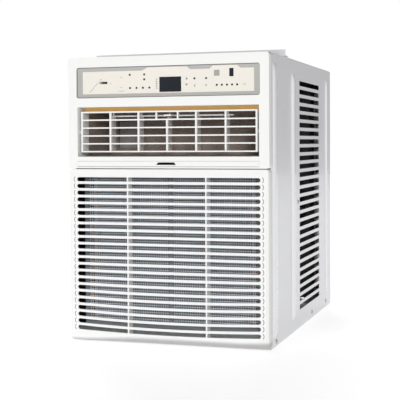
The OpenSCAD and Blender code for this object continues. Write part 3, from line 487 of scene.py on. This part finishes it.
# %% [markdown]
# ## Repeats with Geometry Nodes
# Coil fins, net strands and screws are one small shape placed many times. A Geometry Nodes tree places a
# box along a line: the count, spacing and size are its named inputs. Instances are made real at the end,
# because an exported model keeps only real faces.

# %% A row of boxes
def inputs_of(tree, wanted):
    for name, kind in wanted:
        tree.interface.new_socket(name, in_out="INPUT", socket_type=kind)
    tree.interface.new_socket("Geometry", in_out="OUTPUT", socket_type="NodeSocketGeometry")


row_tree = bpy.data.node_groups.new("row_of_boxes", "GeometryNodeTree")
inputs_of(row_tree, [("Count", "NodeSocketInt"), ("Start", "NodeSocketVector"), ("Step", "NodeSocketVector"),
                     ("Size", "NodeSocketVector"), ("Material", "NodeSocketMaterial")])
t = Nodes(row_tree)
given = row_tree.nodes.new("NodeGroupInput")
line = t.add("GeometryNodeMeshLine", {"mode": "OFFSET"}, {
    "Count": Val(t, given.outputs["Count"]), "Start Location": Val(t, given.outputs["Start"]),
    "Offset": Val(t, given.outputs["Step"])})
block = t.add("GeometryNodeMeshCube", {}, {"Size": Val(t, given.outputs["Size"])})
many = t.add("GeometryNodeInstanceOnPoints", {}, {"Points": line, "Instance": block})
solid = t.add("GeometryNodeRealizeInstances", {}, {"Geometry": many})
coated = t.add("GeometryNodeSetMaterial", {}, {
    "Geometry": solid, "Material": Val(t, given.outputs["Material"])})
row_tree.links.new(coated.socket, row_tree.nodes.new("NodeGroupOutput").inputs["Geometry"])


# %% Running a tree
def grown(tree, values, base=None):
    """The plain mesh that a tree makes with these inputs."""
    holder = bpy.data.objects.new("grown", base or bpy.data.meshes.new("grown"))
    bpy.context.scene.collection.objects.link(holder)
    grower = holder.modifiers.new("grow", "NODES")
    grower.node_group = tree
    ids = {i.name: i.identifier for i in tree.interface.items_tree if i.in_out == "INPUT"}
    for name, value in values.items():
        grower[ids[name]] = value
    bpy.context.view_layer.update()
    mesh = bpy.data.meshes.new_from_object(holder.evaluated_get(bpy.context.evaluated_depsgraph_get()))
    bpy.data.objects.remove(holder)
    return mesh


def rows(name, body, slot, stands_for, wanted):
    """One piece from several rows of boxes: count, start, step and size of each, in millimetres."""
    bm = bmesh.new()
    for count, start, step, size in wanted:
        bm.from_mesh(grown(row_tree, {"Count": count, "Start": at(*start), "Step": Vector(step) * MM,
                                      "Size": Vector(size) * MM, "Material": FINISH[slot]}))
    return piece(name, bm, body, slot, stands_for)


# %% [markdown]
# ## Coil fins and filter net
# A real coil has a fin every 1.5 to 2 mm, far denser than the CAD stand-in. From the room they show through
# the filter as fine upright lines. The net is two layers of straight strands, one across the other, which at
# this size looks the same as a weave and costs far fewer faces.

# %% Coils and net
def low_high(node):
    """A node's box in millimetres across, behind the front face and up."""
    low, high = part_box(node)
    return [(v.x / MM, (v.y - FRONT) / MM, v.z / MM) for v in (low, high)]


for node, pitch in (("evaporator_fins", 1.8), ("condenser_fins", 2.0)):
    (x0, y0, z0), (x1, y1, z1) = low_high(node)
    count = int((x1 - x0) / pitch)
    rows(node + "_dense", "cabinet", slot_of[node], [node],
         [(count, (x0 + pitch / 2, (y0 + y1) / 2, (z0 + z1) / 2), (pitch, 0, 0), (0.22, y1 - y0, z1 - z0))])
    print(node, "fins", count)
(x0, y0, z0), (x1, y1, z1) = low_high("filter_net")
strand, gap = 0.8, 4.2
nx, nz = int((x1 - x0) / gap), int((z1 - z0) / gap)
rows("net", "air_filter", "filter_mesh", ["filter_net"], [
    (nx, (x0 + gap / 2, y0 + 0.2, (z0 + z1) / 2), (gap, 0, 0), (strand, 0.3, z1 - z0)),
    (nz, ((x0 + x1) / 2, y0 + 0.45, z0 + gap / 2), (0, 0, gap), (x1 - x0, 0.3, strand))])
print("net strands", nx + nz)

# %% [markdown]
# ## Screws
# A pan-head screw is a low dome with a cross recess. One is modelled, and a second tree sets it on points
# whose stored direction says which way each head faces.

# %% One screw
HEAD_SIDES = 24


def around(radius, i, count):
    """Point i of a circle cut into this many steps."""
    turn = math.tau * i / count
    return radius * math.cos(turn), radius * math.sin(turn)


head = bmesh.new()
levels = [(4.2, 0.0), (4.2, 0.5), (3.7, 1.0), (2.6, 1.35), (1.9, 1.45)]
rings = [[head.verts.new(Vector((*around(r, i, HEAD_SIDES), z)) * MM) for i in range(HEAD_SIDES)]
         for r, z in levels]
cross = [head.verts.new(Vector((*around(1.9 if i % 6 == 0 else 0.7, i, HEAD_SIDES), 0.5)) * MM)
         for i in range(HEAD_SIDES)]
rings.append(cross)
for a, b in zip(rings, rings[1:]):
    for i in range(HEAD_SIDES):
        j = (i + 1) % HEAD_SIDES
        head.faces.new((a[i], a[j], b[j], b[i]))
head.faces.new(cross)
head.faces.new(rings[0][::-1])
bmesh.ops.recalc_face_normals(head, faces=head.faces)
head_mesh = bpy.data.meshes.new("screw_head")
head.to_mesh(head_mesh)
head.free()
print("faces on a screw head", len(head_mesh.polygons))

# %% Copies on points
point_tree = bpy.data.node_groups.new("copies_on_points", "GeometryNodeTree")
inputs_of(point_tree, [("Places", "NodeSocketGeometry"), ("Copy", "NodeSocketObject"),
                       ("Material", "NodeSocketMaterial")])
t = Nodes(point_tree)
given = point_tree.nodes.new("NodeGroupInput")
facing = t.add("GeometryNodeInputNamedAttribute", {"data_type": "FLOAT_VECTOR"}, {"Name": "aim"})
turned = t.add("FunctionNodeAlignRotationToVector", {"axis": "Z"}, {"Vector": facing})
shape = t.add("GeometryNodeObjectInfo", {}, {"Object": Val(t, given.outputs["Copy"])}, "Geometry")
set_out = t.add("GeometryNodeInstanceOnPoints", {}, {
    "Points": Val(t, given.outputs["Places"]), "Instance": shape, "Rotation": turned})
solid = t.add("GeometryNodeRealizeInstances", {}, {"Geometry": set_out})
coated = t.add("GeometryNodeSetMaterial", {}, {
    "Geometry": solid, "Material": Val(t, given.outputs["Material"])})
point_tree.links.new(coated.socket, point_tree.nodes.new("NodeGroupOutput").inputs["Geometry"])


def copies(shape_mesh, finish_name, places):
    """A bmesh with the shape at each place: a point, and the way its own Z faces."""
    pattern = bpy.data.objects.new("pattern", shape_mesh)
    bpy.context.scene.collection.objects.link(pattern)
    spots = bpy.data.meshes.new("places")
    spots.from_pydata([point for point, way in places], [], [])
    aim = spots.attributes.new("aim", "FLOAT_VECTOR", "POINT")
    aim.data.foreach_set("vector", [c for point, way in places for c in way])
    bm = bmesh.new()
    bm.from_mesh(grown(point_tree, {"Copy": pattern, "Material": FINISH[finish_name]}, spots))
    bpy.data.objects.remove(pattern)
    return bm


screw_places = [(at(side * 181, y, z), (side, 0, 0)) for side in (-1, 1)
                for y, z in ((58.5, 8), (235, 241), (361, 11.5), (506, 12.6))]
screw_places += [(at(side * 150, 136, 509.5), (0, 0, 1)) for side in (-1, 1)]
piece("screw_heads", copies(head_mesh, "screws", screw_places), "cabinet", "screws", ["cabinet_screws"])
print("screws", len(screw_places))

# %% [markdown]
# ## Printed marks
# The film carries small generic marks: an underline, ticks, arrows, a moon and a plain square. Ink has almost
# no thickness, so each mark is a plate a twentieth of a millimetre proud of the film, enough to never flicker
# against it. There are no words.

# %% Marks
INK = 0.05
FILM = 2.5
LINE = 0.6


def plate(bm, outline, depth=FILM):
    """A thin closed plate with this outline, given across and up in millimetres."""
    front = [bm.verts.new(at(x, depth - INK, z)) for x, z in outline]
    back = [bm.verts.new(at(x, depth + INK, z)) for x, z in outline]
    bm.faces.new(front)
    bm.faces.new(back[::-1])
    n = len(front)
    for i in range(n):
        bm.faces.new((front[i], back[i], back[(i + 1) % n], front[(i + 1) % n]))


def stroke(bm, a, b):
    """A printed line from a to b."""
    along = (Vector(b) - Vector(a)).normalized()
    across = Vector((-along.y, along.x)) * LINE / 2
    plate(bm, [Vector(a) + across, Vector(a) - across, Vector(b) - across, Vector(b) + across])


marks = bmesh.new()
for a, b in (((-143, 444), (-131, 457)), ((-131, 457), (-127, 460.5)), ((-88, 445.5), (-78, 445.5)),
             ((-17, 449), (-17, 465)), ((-124, 466.5), (-120.5, 466.5)), ((-105, 459), (-101.5, 459))):
    stroke(marks, a, b)
for i in range(5):
    stroke(marks, (-19, 449 + 4 * i), (-15, 449 + 4 * i))
bmesh.ops.recalc_face_normals(marks, faces=marks.faces)
made = piece("printed_marks", marks, "cabinet", "black_plastic", look="print_grey_and_painted_shade")
print("faces of printed marks", len(made.data.polygons))

# %% [markdown]
# ## Keys, light rims and slot marks
# Each key is a soft mound that meets the film with no visible joint, and its mark rides on it. Every
# indicator light sits in a dark printed rim, and every grille slot ends in a small arc of painted shade, the
# shadow of a shallow dimple. The rims and arcs are copies on points, made by the same tree as the screws.

# %% Keys
def stack(bm, loops):
    """A closed solid through loops of points, from its first loop to its last."""
    rings = [[bm.verts.new(p) for p in loop] for loop in loops]
    n = len(rings[0])
    for a, b in zip(rings, rings[1:]):
        for i in range(n):
            bm.faces.new((a[i], a[(i + 1) % n], b[(i + 1) % n], b[i]))
    bm.faces.new(rings[0])
    bm.faces.new(rings[-1])
    bmesh.ops.recalc_face_normals(bm, faces=bm.faces)


KEY_TOP = 2.22
KEYS = ("key_fan", "key_mode", "key_up", "key_down", "key_timer", "key_sleep", "key_power")
for node in KEYS:
    (x0, y0, z0), (x1, y1, z1) = low_high(node)
    mound = bmesh.new()
    stack(mound, [[at(x, depth, z) for x, z in rounded_loop(x0 - out, x1 + out, z0 - out, z1 + out, 1.6)]
                  for out, depth in ((-0.1, y1), (-0.1, 2.49), (0.5, 2.49), (0.5, 2.46), (0.1, 2.42),
                                     (-0.6, 2.28), (-1.4, KEY_TOP))])
    piece(node + "_mound", mound, body_of[node], slot_of[node], [node])
print("keys", len(KEYS))

# %% Marks on the keys
def along_arc(x, z, radius, degrees):
    """Points at these angles around (x, z)."""
    return [(x + radius * math.cos(math.radians(a)), z + radius * math.sin(math.radians(a))) for a in degrees]


moon = along_arc(53.4, 452, 2, range(50, 311, 20)) + along_arc(54.2, 452, 1.5, range(290, 69, -20))
ring = along_arc(141, 453, 1.9, range(-220, 41, 20)) + along_arc(141, 453, 1.35, range(40, -221, -20))
KEY_MARKS = {"key_fan": [[(-86, 469.1), (-86, 468.5), (-80, 468.5), (-80, 469.1)]],
             "key_mode": [[(-86, 451.6), (-86, 451), (-80, 451), (-80, 451.6)]],
             "key_up": [[(38, 467), (35.6, 463.2), (40.4, 463.2)]],
             "key_down": [[(38, 452), (40.4, 455.8), (35.6, 455.8)]],
             "key_timer": [[(72, 449.9), (72, 453.8), (75.4, 452.6), (72.5, 451.4), (72.5, 449.9)]],
             "key_sleep": [moon], "key_power": [ring]}
for node, outlines in KEY_MARKS.items():
    printed = bmesh.new()
    for outline in outlines:
        plate(printed, outline, KEY_TOP)
    bmesh.ops.recalc_face_normals(printed, faces=printed.faces)
    piece(node + "_mark", printed, body_of[node], "black_plastic", look="print_grey_and_painted_shade")
print("marks on keys", len(KEY_MARKS))

# %% Light rims
RIM, RIM_SIDES = 1.9, 16
rim = bmesh.new()
stack(rim, [[Vector((*around(RIM, i, RIM_SIDES), z)) * MM for i in range(RIM_SIDES)] for z in (-0.04, 0.06)])
rim_mesh = bpy.data.meshes.new("rim")
rim.to_mesh(rim_mesh)
rim.free()
LIGHTS = [(-67, 473.5), (-40, 473.5), (-40, 465), (52, 464.5), (73, 464.5)]
LIGHTS += [(-66.5 + 12 * i, 450.5) for i in range(4)] + [(92 + 9 * i, 452.5) for i in range(5)]
rims = copies(rim_mesh, "ink", [(at(x, FILM, z), (0, -1, 0)) for x, z in LIGHTS])
piece("light_rims", rims, "cabinet", "dark_window", look="ink")
print("rims", len(LIGHTS))

# %% Slot arcs of painted shade
SLOTS, SLOT_PITCH, TOP_SLOT, SLOT_END = 23, 12, 290.5, 168
# each arc is painted shade: the shadow of a shallow dimple at the slot end
bend = along_arc(0, 0, 6.5, range(-50, 51, 20)) + along_arc(0, 0, 5.3, range(50, -51, -20))
arcs = bmesh.new()
for side in (-1, 1):
    arc = bmesh.new()
    stack(arc, [[Vector((side * x, y, z)) * MM for x, z in bend] for y in (-0.05, 0.2)])
    arc_mesh = bpy.data.meshes.new("arc")
    arc.to_mesh(arc_mesh)
    arc.free()
    ends = [(at(side * SLOT_END, 0, TOP_SLOT - SLOT_PITCH * i), (0, 0, 1)) for i in range(SLOTS)]
    made = copies(arc_mesh, "print_pale", ends)
    both = bpy.data.meshes.new("arcs")
    made.to_mesh(both)
    made.free()
    arcs.from_mesh(both)
# the arcs take the grey of the print, here standing for shade
piece("slot_arcs", arcs, "cabinet", "grey_plastic", look="print_grey_and_painted_shade")
print("arcs", 2 * SLOTS)

# %% Gap around the control recess
groove = bmesh.new()
outer, inner = rounded_loop(-168, 168, 434, 488, 4), rounded_loop(-167, 167, 435, 487, 3)
rings = [[groove.verts.new(at(x, y, z)) for x, z in loop]
         for loop, y in ((outer, 2.7), (inner, 2.7), (inner, 3), (outer, 3))]
for a, b in zip(rings, rings[1:] + rings[:1]):
    for i in range(len(a)):
        j = (i + 1) % len(a)
        groove.faces.new((a[i], a[j], b[j], b[i]))
bmesh.ops.recalc_face_normals(groove, faces=groove.faces)
piece("recess_gap", groove, "cabinet", "black_plastic", look="shadow_gap")
print("points around the gap", len(outer))

# %% Plain square
badge = bmesh.new()
plate(badge, [(87, 468), (97, 468), (97, 478), (87, 478)])
bmesh.ops.recalc_face_normals(badge, faces=badge.faces)
made = piece("plain_square", badge, "cabinet", "grey_plastic", look="print_pale")
print("plain square faces", len(made.data.polygons))

# %% [markdown]
# ## Floor and light
# The studio is a pale floor under an even sky. The strongest light comes from the front right, a weak and
# broad one from the front left softens its shadows, and one from behind lights the back.

# %% Floor
FLOOR_GLOW = 0.53
floor_mesh = bpy.data.meshes.new("floor")
floor_mesh.from_pydata([(-9, -9, 0), (9, -9, 0), (9, 9, 0), (-9, 9, 0)], [], [(0, 1, 2, 3)])
pale = finish("pale_floor", (0.97, 0.97, 0.97), 0.8, drift=0.004, drift_size=1.0, grain=0.01, bump=0.0,
              specular=0.0)
shader = next(n for n in pale.node_tree.nodes if n.type == "BSDF_PRINCIPLED")
shader.inputs["Emission Color"].default_value = (1, 1, 1, 1)
shader.inputs["Emission Strength"].default_value = FLOOR_GLOW
floor_mesh.materials.append(pale)
floor = bpy.data.objects.new("floor", floor_mesh)
bpy.context.scene.collection.objects.link(floor)
floor.location.z = -0.0005
print("floor at", round(floor.location.z, 4))

# %% Sky and lights
SKY_LIGHT, SKY_SEEN = 0.27, 0.74
sky = bpy.data.worlds.new("studio")
bpy.context.scene.world = sky
sky.use_nodes = True
sky.node_tree.nodes.clear()
t = Nodes(sky.node_tree)
seen = t.add("ShaderNodeLightPath", out="Is Camera Ray")
glow = t.add("ShaderNodeBackground", {}, {"Color": (1, 1, 1), "Strength": seen * SKY_SEEN + SKY_LIGHT})
sky.node_tree.links.new(glow.socket, sky.node_tree.nodes.new("ShaderNodeOutputWorld").inputs["Surface"])


def sun(name, towards, strength, spread):
    """A distant lamp that stands in this direction, with its spread in degrees."""
    lamp = bpy.data.lights.new(name, "SUN")
    lamp.energy, lamp.angle = strength, math.radians(spread)
    lit = bpy.data.objects.new(name, lamp)
    bpy.context.scene.collection.objects.link(lit)
    lit.rotation_euler = Vector(towards).to_track_quat("Z", "Y").to_euler()


sun("key", (-0.25, -0.80, 0.55), 0.25, 25)
sun("fill", (0.36, -0.91, 0.24), 1.38, 14)
sun("back", (-0.35, 0.80, 0.60), 1.1, 30)
bpy.context.scene.view_settings.view_transform = "Standard"
print("lights", len(bpy.data.lights))
